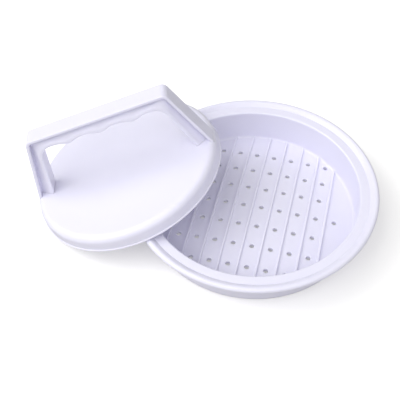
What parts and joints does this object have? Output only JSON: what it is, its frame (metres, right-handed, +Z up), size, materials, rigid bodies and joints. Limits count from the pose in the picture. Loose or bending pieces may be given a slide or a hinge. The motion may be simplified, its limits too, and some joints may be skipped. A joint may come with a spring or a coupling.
{
  "type": "patty press",
  "caption": "White plastic patty press: a round perforated dish, and a hollow press head with an arch handle leaning on the dish's rim.",
  "frame": {"origin": "on the table under the middle of the pair as it lies in the picture; the dish's axis is 25.6 mm along +X", "axes": "+Z up; +X across the dish's ribs, from the leaning press towards the dish; +Y along the ribs"},
  "size_m": [0.1762, 0.125, 0.0685],
  "materials": {
    "dish_plastic": "satin, moulded",
    "head_plastic": "satin, moulded",
    "handle_plastic": "satin, moulded"
  },
  "bodies": {
    "dish": {"dish": "dish_plastic"},
    "press": {"press_head": "head_plastic", "handle": "handle_plastic"}
  },
  "joints": [
    {"name": "press_lift", "type": "slide", "parent": "dish", "child": "press", "axis": [0, 0, 1], "range_m": [0, 0.12]}
  ]
}
